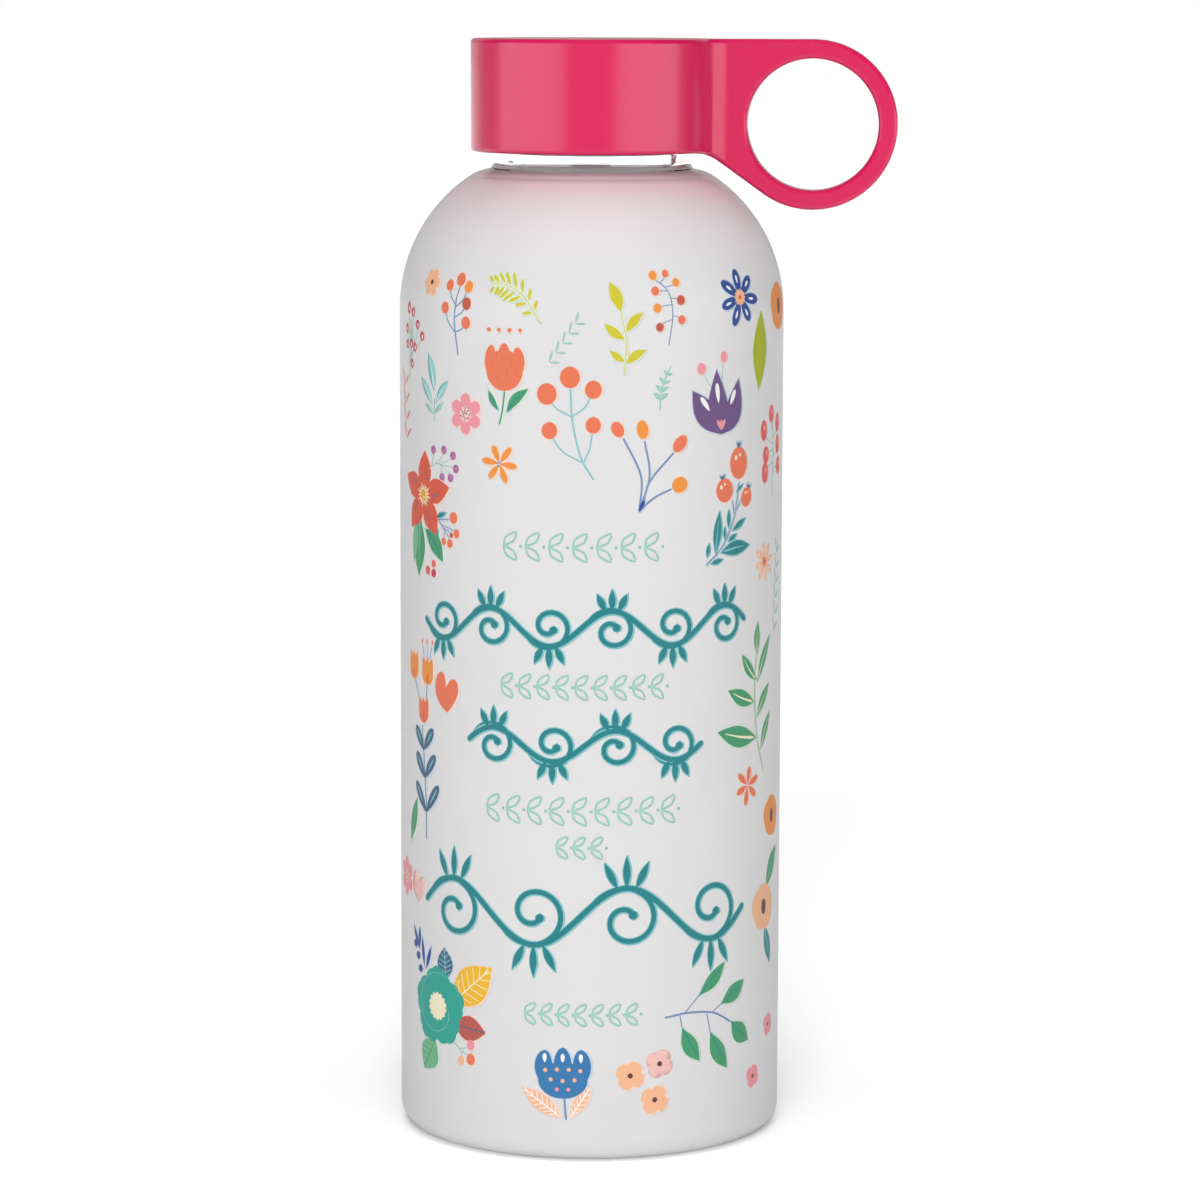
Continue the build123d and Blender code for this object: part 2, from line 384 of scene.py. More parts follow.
def make_glass():
    """The bottle as one closed solid of glass, turned round its axis, with its screw thread."""
    outside, neck, inside = glass_outside(), glass_neck(), glass_inside()
    profile = outside + neck + inside
    vertices = []
    for radius, height in profile[1:-1]:
        threaded = CORE_FOOT_Z < height < RIM_Z - WALL_EDGE and abs(radius - CORE_R) < 1e-6
        for step in range(TURN_STEPS):
            angle = math.tau * step / TURN_STEPS
            reach = radius
            if threaded:
                reach += (CREST_R - CORE_R) * thread_height(angle, height)
            vertices.append((reach * math.cos(angle), reach * math.sin(angle), height))
    rings = len(profile) - 2
    base_pole = len(vertices)
    vertices += [(0, 0, profile[0][1]), (0, 0, profile[-1][1])]
    faces, slots = [], []
    for step in range(TURN_STEPS):
        after = (step + 1) % TURN_STEPS
        faces.append((base_pole, after, step))
        slots.append(0)
        for ring in range(rings - 1):
            low, high = ring * TURN_STEPS, (ring + 1) * TURN_STEPS
            faces.append((low + step, low + after, high + after, high + step))
            slots.append(0 if ring + 1 < len(outside) else 1)
        last = (rings - 1) * TURN_STEPS
        faces.append((last + step, last + after, base_pole + 1))
        slots.append(1)
    bottle = add_mesh("bottle_glass", vertices, faces, [frosted_glass(), clear_glass()], slots)
    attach(bottle, "bottle")
    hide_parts("glass_bottle")


make_glass()

# ---------------- printed decoration
#
# Everything printed on the glass is made of blades. A blade is a flat shape with an ink, a spine, and
# its reach on each side of every point of the spine, in millimetres on the unrolled glass.

PRINT_LIFT = 0.055 * MM
PRINT_THICK = 0.04 * MM
HALO = 0.28                         # how far the pale print shows round a shape
HALO_SHIFT = (0.10, -0.06)
GRID = 1.3                          # spacing of the extra points that let the print follow the glass
LANE = 1.6                          # widest strip of a blade that can lie flat on the glass
LEAST_HALF = 0.015
INK_DEPTH = 0.54                    # how much darker the inks are than their colours on the screen
GOLDEN_ANGLE = 2.39996
FRONT = math.radians(VIEW_AZIMUTH - 90)

INKS = {
    "coral": (236, 122, 88),
    "orange": (243, 150, 66),
    "red": (222, 92, 66),
    "crimson": (196, 62, 96),
    "rose": (232, 96, 96),
    "pink": (243, 152, 164),
    "blush": (246, 196, 188),
    "peach": (247, 188, 148),
    "yellow": (244, 188, 44),
    "rust": (200, 92, 74),
    "plum": (112, 84, 134),
    "lilac": (188, 118, 172),
    "brown": (96, 56, 50),
    "cream": (250, 240, 206),
    "white": (250, 250, 247),
    "lime": (172, 184, 28),
    "moss": (212, 200, 54),
    "leaf": (72, 158, 112),
    "fern": (122, 190, 148),
    "mint": (164, 214, 198),
    "aqua": (140, 206, 208),
    "sea": (44, 166, 150),
    "teal": (38, 132, 138),
    "blue": (58, 124, 178),
    "sky": (126, 156, 198),
    "navy": (52, 80, 150),
    "slate": (74, 104, 132),
}
HALO_INKS = {
    "warm_halo": (252, 226, 210),
    "green_halo": (226, 240, 222),
    "teal_halo": (140, 204, 208),
    "blue_halo": (206, 220, 238),
}
WARM = "coral orange red crimson rose pink peach yellow rust".split()
GREEN = "lime moss leaf fern sea".split()
BLUE = "blue navy slate plum".split()


def halo_ink(ink):
    """The pale ink that was printed under this one, or None."""
    if ink in WARM:
        return "warm_halo"
    if ink in GREEN:
        return "green_halo"
    if ink in BLUE:
        return "blue_halo"
    return "teal_halo" if ink == "teal" else None


def print_ink(name, colour):
    """Fired ink: one colour, slightly raised, with the grain of the frosted glass under it."""
    material, nodes, output = new_material("ink_" + name)
    bump, noise = fine_bump(nodes, 2200, 0.25, 0.00006)
    depth = tuple(INK_DEPTH * share for share in srgb(*colour)[:3]) + (1.0,)
    ink = put(nodes, "BsdfPrincipled", Base_Color=depth, IOR=1.5, Specular_IOR_Level=0.25)
    spread = put(nodes, "MapRange", To_Min=0.42, To_Max=0.62)
    join(noise, "Fac", spread, "Value")
    join(spread, "Result", ink, "Roughness")
    join(bump, "Normal", ink, "Normal")
    join(ink, "BSDF", output, "Surface")
    return material


INK_NAMES = list(INKS) + list(HALO_INKS)
INK_MATERIALS = [print_ink(name, colour) for name, colour in {**INKS, **HALO_INKS}.items()]

REACH = {
    "leaf": lambda share: math.sin(math.pi * share),
    "petal": lambda share: 2.38 * share**0.8 * math.sqrt(1 - share),
    "round": lambda share: 2 * math.sqrt(share * (1 - share)),
    "taper": lambda share: min(1.0, 9 * share) * (1 - 0.75 * share),
    "tendril": lambda share: min(1.0, 5 * share),
}


def along(points, share):
    """The place at that share, from 0 to 1, of a smooth curve through the points."""
    spans = len(points) - 1
    span = min(int(share * spans), spans - 1)
    t = share * spans - span
    p1, p2 = points[span], points[span + 1]
    p0 = points[span - 1] if span else [2 * a - b for a, b in zip(p1, p2)]
    p3 = points[span + 2] if span + 2 <= spans else [2 * b - a for a, b in zip(p1, p2)]
    return tuple(
        0.5 * (2 * b + (c - a) * t + (2 * a - 5 * b + 4 * c - d) * t**2 + (3 * b - a - 3 * c + d) * t**3)
        for a, b, c, d in zip(p0, p1, p2, p3)
    )


def blade(ink, points, width, kind="leaf"):
    """A leaf, petal or round shape on a smooth spine through the points."""
    length = sum(math.dist(a, b) for a, b in zip(points, points[1:]))
    steps = 8 + round(1.2 * length)
    shares = [(1 - math.cos(math.pi * step / steps)) / 2 for step in range(steps + 1)]
    spine = [along(points, share) for share in shares]
    return ink, spine, [width / 2 * REACH[kind](share) for share in shares]


def disc(ink, x, y, radius, tall=1.0):
    """A round dot, or an upright oval."""
    rise = radius * tall
    return blade(ink, [(x, y - rise), (x, y + rise)], 2 * radius, "round")


def line(ink, points, width):
    """A line of even width with round ends."""
    length = sum(math.dist(a, b) for a, b in zip(points, points[1:]))
    steps = max(4, round(length / 0.7))
    ends = [0.04, 0.3]
    shares = [end * width / length for end in ends] + [step / steps for step in range(1, steps)]
    shares += [1 - end * width / length for end in reversed(ends)]
    spine = [along(points, min(max(share, 0), 1)) for share in shares]
    reach = [width / 2] * len(spine)
    reach[0] = reach[-1] = width * 0.2
    reach[1] = reach[-2] = width * 0.45
    return ink, spine, reach


def moved(blades, x=0.0, y=0.0, turn=0.0, size=1.0):
    """The same blades turned by some degrees, scaled, and then shifted."""
    c, s = math.cos(math.radians(turn)), math.sin(math.radians(turn))
    return [
        (
            ink,
            [(x + size * (a * c - b * s), y + size * (a * s + b * c)) for a, b in spine],
            [size * half for half in reach],
        )
        for ink, spine, reach in blades
    ]


def grown(blades):
    """The pale print under the blades, a little larger and a little out of place."""
    halos = []
    for ink, spine, reach in blades:
        pale = halo_ink(ink)
        if pale is None:
            continue
        first_step = Vector(spine[0]) - Vector(spine[1])
        last_step = Vector(spine[-1]) - Vector(spine[-2])
        places = [Vector(place) + Vector(HALO_SHIFT) for place in spine]
        places = [places[0] + first_step.normalized() * HALO] + places
        places.append(places[-1] + last_step.normalized() * HALO)
        wider = [HALO * 0.3] + [half + HALO * 0.9 for half in reach] + [HALO * 0.3]
        halos.append((pale, [tuple(place) for place in places], wider))
    return halos


def lanes(spine, reach):
    """Rows of points across a blade, no further apart than the curve of the glass allows."""
    count = 1 + int(2 * max(reach) / LANE)
    rows = []
    for place in range(len(spine)):
        before, after = spine[max(place - 1, 0)], spine[min(place + 1, len(spine) - 1)]
        run = Vector(after) - Vector(before)
        across = Vector((-run.y, run.x)).normalized() * max(reach[place], LEAST_HALF)
        rows.append([Vector(spine[place]) + across * (1 - 2 * lane / count) for lane in range(count + 1)])
    return rows


def covers(face, corners, place):
    """Whether that four-sided face has the place inside it."""
    signs = []
    for start, end in zip(face, face[1:] + face[:1]):
        edge, away = corners[end] - corners[start], place - corners[start]
        signs.append(edge.x * away.y - edge.y * away.x)
    return min(signs) >= -1e-7 or max(signs) <= 1e-7


def flat_faces(blades):
    """Triangles of the blades, each with the ink that was printed last there."""
    corners, faces, inks = [], [], []
    for ink, spine, reach in blades:
        rows = lanes(spine, reach)
        across = len(rows[0])
        for step in range(len(rows) - 1):
            for lane in range(across - 1):
                here = len(corners) + across * step + lane
                faces.append([here, here + 1, here + across + 1, here + across])
                inks.append(INK_NAMES.index(ink))
        corners += [corner for row in rows for corner in row]
    low_x, high_x = min(c.x for c in corners), max(c.x for c in corners)
    low_y, high_y = min(c.y for c in corners), max(c.y for c in corners)
    for column in range(1 + int((high_x - low_x) / GRID)):
        for row in range(1 + int((high_y - low_y) / GRID)):
            corners.append(Vector((low_x + GRID * column, low_y + GRID * (row + column % 2 / 2))))
    places, _, triangles, _, _, sources = delaunay_2d_cdt(corners, [], faces, 1, 1e-4, True)
    found = []
    for triangle, own in zip(triangles, sources):
        middle = sum((places[corner] for corner in triangle), Vector((0, 0))) / 3
        last_first = sorted(own, reverse=True)
        on_top = next((face for face in last_first if covers(faces[face], corners, middle)), None)
        if on_top is not None:
            found.append((triangle, inks[on_top]))
    return places, found


def wall_reach(height):
    """The radius of the glass at that height of its wall or shoulder."""
    if height <= SHOULDER_Z:
        return BODY_R
    return LARGE_CENTRE_R + math.sqrt(SHOULDER_R**2 - (height - SHOULDER_Z) ** 2)


def print_on_glass(name, layout):
    """One piece of print: each motif of the layout wrapped round the glass where its row says."""
    vertices, triangles, inks = [], [], []
    for blades, degrees, height in layout:
        places, found = flat_faces(grown(blades) + blades)
        start = len(vertices)
        for place in places:
            angle = FRONT + math.radians(degrees) + place.x * MM / BODY_R
            rise = (height + place.y) * MM
            reach = wall_reach(rise) + PRINT_LIFT
            vertices.append((reach * math.cos(angle), reach * math.sin(angle), rise))
        triangles += [[start + corner for corner in triangle] for triangle, _ in found]
        inks += [ink for _, ink in found]
    piece = add_mesh(name, vertices, triangles, INK_MATERIALS, inks)
    thick = piece.modifiers.new("ink thickness", "SOLIDIFY")
    thick.thickness = PRINT_THICK
    thick.offset = -1
    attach(piece, "bottle")


# ---------------- leaves and berries


def ribbed_leaf(ink, base, tip, width, rib=None, bow=0.0):
    """A pointed leaf, with a line along its middle if it has a rib ink."""
    run = Vector(tip) - Vector(base)
    middle = (Vector(base) + Vector(tip)) / 2 + Vector((-run.y, run.x)).normalized() * bow
    spine = [base, tuple(middle), tip]
    shapes = [blade(ink, spine, width)]
    if rib:
        start, end = along(spine, 0.06), along(spine, 0.82)
        shapes.append(blade(rib, [start, along(spine, 0.45), end], width * 0.16, "taper"))
    return shapes


def leaves(ink, rib, rows):
    """Pointed leaves of one ink: each row has a leaf's base, its tip, its width and its bow."""
    shapes = []
    for base, tip, width, bow in rows:
        shapes += ribbed_leaf(ink, base, tip, width, rib, bow)
    return shapes


def veined_leaf(ink, vein, base, tip, width, pairs):
    """A broad leaf with a middle vein and side veins that lean towards its tip."""
    spine = [base, tip]
    run = Vector(tip) - Vector(base)
    forward = run.normalized()
    across = Vector((-forward.y, forward.x))
    shapes = [blade(ink, spine, width)]
    shapes.append(line(vein, [along(spine, 0.02), along(spine, 0.93)], 0.24))
    for pair in range(pairs):
        share = 0.1 + 0.72 * pair / (pairs - 1)
        root = Vector(along(spine, share))
        reach = width / 2 * math.sin(math.pi * min(share + 0.12, 1)) * 0.86
        for side in (-1, 1):
            end = root + forward * run.length * 0.13 + across * side * reach
            shapes.append(line(vein, [tuple(root), tuple(end)], 0.17))
    return shapes


SPRIG_SPREAD = 48


def sprig(ink, stem, pairs, length, width):
    """A stem with pairs of leaves on it, smaller towards its top."""
    shapes = [line(ink, stem, 0.26)]
    for pair in range(pairs):
        share = 0.22 + 0.72 * pair / pairs
        root = Vector(along(stem, share))
        ahead = Vector(along(stem, min(share + 0.05, 1))) - root
        heading = math.atan2(ahead.y, ahead.x)
        size = 1 - 0.45 * pair / pairs
        for side in (-1, 1):
            angle = heading + math.radians(side * SPRIG_SPREAD)
            tip = root + Vector((math.cos(angle), math.sin(angle))) * length * size
            shapes += ribbed_leaf(ink, tuple(root), tuple(tip), width * size, None, side * -0.2)
    return shapes


def berries(stem_ink, stem, branches, width=0.3):
    """Berries on thin stalks: each branch has its share of the stem, its end, a radius and an ink."""
    shapes = [line(stem_ink, stem, width)]
    for share, end, *_ in branches:
        root = along(stem, share)
        middle = (root[0] * 0.35 + end[0] * 0.65, root[1] * 0.6 + end[1] * 0.4)
        shapes.append(line(stem_ink, [root, middle, end], width * 0.8))
    for _, end, radius, ink in branches:
        shapes.append(disc(ink, *end, radius, 1.08))
    return shapes


# ---------------- flowers


def ring_of(petals, count, start=90.0):
    """Petals round the middle of a flower: the given ones take turns, and each is a list of blades."""
    shapes = []
    for place in range(count):
        shapes += moved(petals[place % len(petals)], turn=start - 90 + 360 * place / count)
    return shapes


def daisy(ink, petals, length, width, centre, mark=None, start=90.0):
    """A flower of narrow petals, every second one a little shorter, round a small centre."""
    marks = []
    if mark:
        marks.append(blade(mark, [(0, length * 0.46), (0, length * 0.74)], width * 0.24, "petal"))
    pair = [[blade(ink, [(0, 0.3), (0, length * far)], width, "petal")] + marks for far in (0.94, 1.0)]
    return ring_of(pair, petals, start) + centre


def dotted_heart(inks, reach, count, radius):
    """Small dots spread evenly over a round, like seeds."""
    shapes = []
    for seed in range(count):
        away = reach * math.sqrt((seed + 0.5) / count)
        angle = seed * GOLDEN_ANGLE
        ink = inks[seed % len(inks)]
        shapes.append(disc(ink, away * math.cos(angle), away * math.sin(angle), radius))
    return shapes


def frilled_heart(ink, eye, radius, teeth):
    """A round heart with a toothed edge and a dark eye."""
    tooth = [blade(ink, [(0, 0), (0, radius * 1.18)], radius * 0.5, "petal")]
    return ring_of([tooth], teeth) + [disc(ink, 0, 0, radius * 0.86), disc(eye, 0, 0, radius * 0.3)]


def blossom(ink, lobes, radius):
    """A small flower of round lobes with a brown eye."""
    lobe_width = 1.5 * radius * math.sin(math.pi / lobes)
    lobe = [blade(ink, [(0, -0.1 * radius), (0, radius)], lobe_width, "petal")]
    return ring_of([lobe], lobes, 60) + [disc(ink, 0, 0, radius * 0.55), disc("brown", 0, 0, radius * 0.18)]


def ruffled_flower(ink, centre, radius):
    """A large open flower of five petals, each three round lobes side by side, lightly stippled."""
    petal = []
    for lean, far in ((-18, 0.93), (0, 1.0), (18, 0.93)):
        end = (radius * far * math.sin(math.radians(lean)), radius * far * math.cos(math.radians(lean)))
        petal.append(blade(ink, [(0, 0), end], radius * 0.62, "petal"))
    stipple = []
    for dot in range(150):
        away = radius * (0.34 + 0.56 * math.sqrt((dot * 0.618) % 1))
        angle = dot * GOLDEN_ANGLE
        stipple.append(disc("aqua", away * math.cos(angle), away * math.sin(angle), 0.09))
    return ring_of([petal], 5) + stipple + centre


def star_flower(ink, shade, radius):
    """A large flower of five pointed petals with darker strokes on them and a rayed cream heart."""
    petal = [blade(ink, [(0, 0), (0, radius)], radius * 0.56)]
    for stroke in range(6):
        up = radius * (0.36 + 0.07 * stroke)
        out = radius * 0.17 * math.cos(0.33 * stroke)
        petal.append(line(shade, [(out * 0.25, up), (out, up + 0.25)], 0.2))
    rays = [[blade("cream", [(0, 0.2), (0, radius * far)], 0.42)] for far in (0.25, 0.3)]
    seeds = dotted_heart(["brown", "rust", "white"], radius * 0.12, 13, 0.15)
    return ring_of([petal], 5) + ring_of(rays, 15) + [disc("yellow", 0, 0, radius * 0.13)] + seeds


def streaks(ink, spots, length, width):
    """Short upright brush marks."""
    return [line(ink, [(x, y), (x + 0.05, y + length)], width) for x, y in spots]


def tulip():
    """A three-lobed cup with brush marks, on a stem with two leaves, under a row of dots."""
    lobes = [(-2.75, 5.4, 2.7), (0.0, 5.8, 3.1), (2.75, 5.1, 2.7)]
    shapes = [line("leaf", [(0.1, -3.2), (-0.3, -6.6), (-1.0, -9.6)], 0.34)]
    shapes += ribbed_leaf("leaf", (-1.3, -6.9), (-3.4, -3.1), 1.25, "teal", 0.2)
    shapes += ribbed_leaf("leaf", (0.5, -7.3), (5.0, -2.6), 1.9, "teal", 0.5)
    shapes += [disc("coral", -3.3 + 2.2 * dot, 8.3, 0.42 - 0.04 * (dot % 2)) for dot in range(4)]
    for x, top, width in lobes:
        shapes.append(blade("coral", [(x * 0.35, -2.4), (x * 1.02, 1.6), (x, top)], width, "round"))
    shapes.append(blade("coral", [(0, -3.2), (0, 4.6)], 7.7, "round"))
    marks = [(-2.6, 0.6), (-1.5, -1.3), (-0.5, 2.2), (0.6, -0.4), (1.6, 1.9), (2.5, -0.2), (-1.7, 3.1)]
    return shapes + streaks("red", marks, 1.3, 0.11)


def cup_bloom():
    """A cup of three pointed petals with a pale drop on each, and two stamens."""
    stamens = ([(-1.2, 2.6), (-2.9, 4.6), (-4.2, 7.0)], [(0.8, 3.0), (1.0, 6.0), (1.1, 8.4)])
    shapes = [line("mint", stamen, 0.16) for stamen in stamens]
    shapes += [disc("pink", -4.2, 6.9, 0.95, 1.15), disc("pink", 1.2, 8.9, 0.8, 1.35)]
    for tip, bow, width in (((-6.2, 2.8), -3.0, 4.8), ((5.4, 4.6), 3.8, 4.6), ((-0.6, 6.6), 0.0, 5.4)):
        shapes.append(blade("plum", [(0.8, -5.8), (bow, -1.8), tip], width))
    for drop, tip in (((-2.2, -1.2), (-4.3, 1.5)), ((0.0, 0.2), (-0.5, 4.0)), ((3.1, -0.3), (4.4, 2.5))):
        shapes.append(blade("white", [drop, tip], 1.0, "petal"))
    for lean in (-1.0, 0.0, 1.0):
        shapes.append(blade("pink", [(0.7, -5.0), (0.7 + lean, -3.0)], 0.7, "petal"))
    return shapes


def bell(ink, x, y, tall):
    """A small open cup with three points and a darker foot."""
    shapes = [blade(ink, [(x, y), (x + lean, y + tall)], tall * 0.42) for lean in (-1.7, 0, 1.7)]
    shapes.append(blade(ink, [(x, y - 0.2), (x, y + tall * 0.8)], tall * 0.78, "round"))
    shapes.append(blade("red", [(x, y), (x, y + tall * 0.36)], tall * 0.12, "petal"))
    return shapes


def bells():
    """Three cups on thin stalks, with loose stamens over them."""
    shapes = [line("slate", [(0, -7.5), (-0.2, -5.0)], 0.3)]
    for stalk in ([(0.0, -5.5), (0.9, -2.4), (1.2, 0.6)], [(-0.1, -5.5), (-2.6, -1.6), (-4.0, 1.2)]):
        shapes.append(line("slate", stalk, 0.2))
    for x in (-0.6, 1.2, 3.0):
        shapes.append(line("slate", [(1.2 + (x - 1.2) * 0.5, 5.0), (x, 8.2)], 0.11))
        shapes.append(blade("rose", [(x, 8.0), (x + 0.2, 9.2)], 0.45))
    cups = (("orange", 1.3, 0.4, 5.2), ("orange", -4.4, 0.9, 5.4), ("coral", -0.2, -7.2, 4.8))
    for ink, x, y, tall in cups:
        shapes += bell(ink, x, y, tall)
    return shapes


def heart(ink, size):
    """A hand-drawn heart, one side higher than the other."""
    foot = (-0.15, -0.62 * size)
    left = [foot, (-0.34 * size, 0.02), (-0.27 * size, 0.62 * size)]
    right = [foot, (0.2 * size, -0.04), (0.3 * size, 0.44 * size)]
    filling = [(-0.15, -0.6 * size), (0, 0.26 * size)]
    return [
        blade(ink, left, 0.52 * size, "petal"),
        blade(ink, right, 0.5 * size, "petal"),
        blade(ink, filling, 0.5 * size),
    ]


def rose_hip(x, y, radius, tall, turn):
    """A round fruit with a small crown and two pale glints."""
    shapes = [blade("coral", [(0, -tall), (0, tall)], 2 * radius, "round")]
    for lean in (-0.7, -0.25, 0.2, 0.65):
        shapes.append(blade("slate", [(lean * 0.3, tall * 0.92), (lean, tall * 1.36)], 0.3))
    shapes.append(disc("cream", -radius * 0.34, tall * 0.34, radius * 0.15, 1.3))
    shapes.append(disc("cream", radius * 0.12, tall * 0.5, radius * 0.11, 1.2))
    return moved(shapes, x, y, turn)


def rose_hips():
    """Three hips on a leafy twig."""
    shapes = [line("slate", [(-5.4, -12.6), (-1.2, -9.0), (1.8, -3.6), (3.0, 2.6)], 0.2)]
    for stalk in ([(1.7, -3.2), (1.2, -0.8)], [(2.0, -2.9), (4.0, -0.4)]):
        shapes.append(line("slate", stalk, 0.18))
    shapes += ribbed_leaf("teal", (-3.2, -10.4), (-2.2, -2.6), 1.9, "aqua")
    shapes += ribbed_leaf("teal", (-1.8, -10.4), (6.4, -9.6), 2.7, "aqua", 0.2)
    for root, tip, width in (
        ((0.2, -5.8), (0.2, -2.4), 0.8),
        ((1.4, -6.4), (5.0, -4.4), 1.1),
        ((0.2, -8.4), (2.4, -7.2), 0.9),
        ((-5.2, -11.0), (-4.8, -8.6), 0.8),
        ((-4.2, -12.4), (-1.4, -11.8), 0.9),
        ((2.4, 1.0), (4.2, 2.2), 0.5),
        ((-0.8, -8.0), (-0.9, -5.6), 0.6),
    ):
        shapes.append(blade("teal", [root, tip], width))
    shapes += rose_hip(3.0, 6.4, 2.5, 3.1, 0) + rose_hip(-0.9, 1.4, 2.2, 2.3, 12)
    return shapes + rose_hip(5.4, -0.3, 1.6, 1.9, -20)


def dotted_tulip():
    """A round blue cup of three petals with peach dots, between two veined leaves."""
    shapes = [line("sky", [(0.7, -3.6), (0.9, -6.6), (1.1, -8.6)], 0.4)]
    shapes += veined_leaf("peach", "white", (0.1, -8.0), (-7.6, -2.6), 3.2, 7)
    shapes += veined_leaf("peach", "white", (1.9, -8.0), (5.8, -2.0), 2.4, 6)
    for x, top in ((-3.1, 5.0), (3.9, 5.2), (0.4, 5.6)):
        shapes.append(blade("blue", [(0.4 + 0.2 * x, -3.6), (x, 1.0), (x, top)], 3.7, "round"))
        shapes.append(blade("white", [(x, 2.6), (x, 4.4)], 0.8, "petal"))
    shapes.append(blade("blue", [(0.4, -4.4), (0.4, 2.8)], 9.6, "round"))
    for x, y in ((-3.0, 1.1), (-0.7, 1.3), (1.6, 1.3), (3.8, 1.1), (-1.9, -0.7), (0.4, -0.9), (2.7, -0.7)):
        shapes.append(disc("peach", x, y, 0.4))
    return shapes + [disc("pink", -0.7, -2.6, 0.38), disc("pink", 1.5, -2.6, 0.38)]


def chevrons(ink, count, step, size):
    """A light sprig of open V shapes one over the other."""
    shapes = []
    for mark in range(count):
        y = step * mark
        shapes.append(blade(ink, [(0, y), (-0.35 * size, y + size)], 0.42, "petal"))
        shapes.append(blade(ink, [(0, y), (0.75 * size, y + 0.5 * size)], 0.42, "petal"))
    return moved(shapes, y=-step * count / 2)


# ---------------- ornament bands

STEM_STEP = 1.5
TENDRIL_STEPS = 28
TENDRIL_SWEEP = math.radians(500)


def vine(length, wave, rise, width):
    """A running scroll: a waving stem with a curled tendril and a bud in each hollow, and small leaves."""
    stem = []
    for step in range(int(length / STEM_STEP) + 1):
        x = -length / 2 + STEM_STEP * step
        stem.append((x, rise * math.sin(math.tau * x / wave)))
    shapes = [line("teal", stem, width)]
    half = wave / 2
    for hollow in range(round(length / half)):
        middle = -length / 2 + half * (hollow + 0.5)
        side = 1 if math.sin(math.tau * middle / wave) > 0 else -1
        curl = []
        for step in range(1, TENDRIL_STEPS + 1):
            share = step / TENDRIL_STEPS
            away = half * 0.46 * (1 - 0.80 * share**0.8)
            angle = math.pi - share * TENDRIL_SWEEP
            x, y = away * math.cos(angle), away * math.sin(angle)
            curl.append((middle + x, side * (y * 0.95 - rise * 0.12)))
        shapes.append(blade("teal", curl, width * 0.88, "tendril"))
        shapes.append(disc("teal", *curl[-1], width * 0.75))
        for lean, far in ((-1, 0.95), (1, 0.95), (0, 1.2)):
            root = (middle + half * 0.10 * lean, side * rise * 0.98)
            tip = (middle + half * 0.24 * lean, side * (rise + half * 0.29 * far))
            shapes.append(blade("teal", [root, tip], width * 1.3))
    return shapes


def garland(length, leaf):
    """A row of small open leaves in pairs, with a dot after each pair, all in mint."""
    shapes = []
    count = round(length / (leaf * 1.6))
    for unit in range(count):
        x = length * ((unit + 0.5) / count - 0.5)
        for side in (-1, 1):
            rim = [
                (x - leaf * 0.55, 0),
                (x - leaf * 0.35, side * leaf * 0.62),
                (x + leaf * 0.42, side * leaf * 0.98),
                (x + leaf * 0.22, side * leaf * 0.36),
                (x - leaf * 0.55, 0),
            ]
            shapes.append(line("mint", rim, 0.42))
        shapes.append(disc("mint", x + leaf * 0.78, 0, 0.32))
    return shapes


# ---------------- bunches


def peach_blossom():
    """A small peach flower of six round lobes."""
    return blossom("peach", 6, 2.6)


def coral_sprig():
    """Six oval berries on a forked stem."""
    branches = [
        (0.35, (-3.2, 0.9), 1.05, "coral"),
        (0.85, (-2.3, 5.2), 1.0, "coral"),
        (1.0, (0.5, 6.4), 1.15, "coral"),
        (0.8, (2.7, 5.1), 1.05, "orange"),
        (0.6, (2.5, 1.9), 1.1, "rust"),
        (0.35, (2.4, -1.7), 1.1, "coral"),
    ]
    return berries("sky", [(0.4, -8.0), (-0.6, -1.9), (-0.2, 3.0)], branches)


def fern():
    """A bent frond with short club-shaped leaflets."""
    spine = [(5.0, -4.6), (1.6, 0.2), (-2.0, 2.2), (-5.4, 2.4)]
    shapes = [line("moss", spine, 0.18)]
    for pair in range(8):
        share = 0.12 + 0.8 * pair / 7
        root = along(spine, share)
        ahead = along(spine, min(share + 0.04, 1.0))
        heading = math.atan2(ahead[1] - root[1], ahead[0] - root[0])
        size = 3.4 - 1.5 * abs(pair - 3) / 4
        for side, spread in ((-1, 44), (1, 62)):
            angle = heading + math.radians(side * spread)
            start = (root[0] + 0.4 * math.cos(angle), root[1] + 0.4 * math.sin(angle))
            end = (root[0] + size * math.cos(angle), root[1] + size * math.sin(angle))
            shapes.append(blade("moss", [start, end], 0.68, "petal"))
    return shapes


def leafy_branch():
    """Five pointed leaves on a fine stem."""
    rows = [
        ((0.0, 3.0), (-2.2, 8.6), 2.3, -0.2),
        ((0.9, -0.8), (4.1, 2.9), 1.8, 0.2),
        ((0.7, -2.2), (-3.2, 0.8), 1.7, 0.2),
        ((0.9, -6.8), (4.8, -4.2), 1.7, 0.3),
        ((0.7, -6.4), (-2.2, -4.2), 1.3, 0.1),
    ]
    return [line("moss", [(0.6, -8.6), (1.0, -3.0), (-0.2, 4.0)], 0.16)] + leaves("moss", None, rows)


def small_berries():
    """Eight small berries along a curved stem."""
    branches = [
        (0.95, (-3.4, 6.2), 0.82, "orange"),
        (1.0, (-0.8, 6.5), 0.68, "coral"),
        (0.85, (1.3, 4.8), 0.75, "orange"),
        (0.75, (-3.1, 3.3), 0.80, "coral"),
        (0.6, (2.1, 1.5), 0.86, "rust"),
        (0.5, (-2.8, 0.1), 0.80, "orange"),
        (0.35, (2.2, -2.2), 0.78, "coral"),
        (0.3, (-2.3, -3.5), 0.80, "rust"),
    ]
    return berries("sky", [(-0.5, -7.0), (0.3, -1.6), (-0.2, 2.6), (-2.0, 4.9)], branches, 0.2)


def navy_daisy():
    """Seven dark petals with pale marks round a frilled heart."""
    return daisy("navy", 7, 5.7, 2.1, frilled_heart("peach", "red", 1.35, 12), "white", 96)


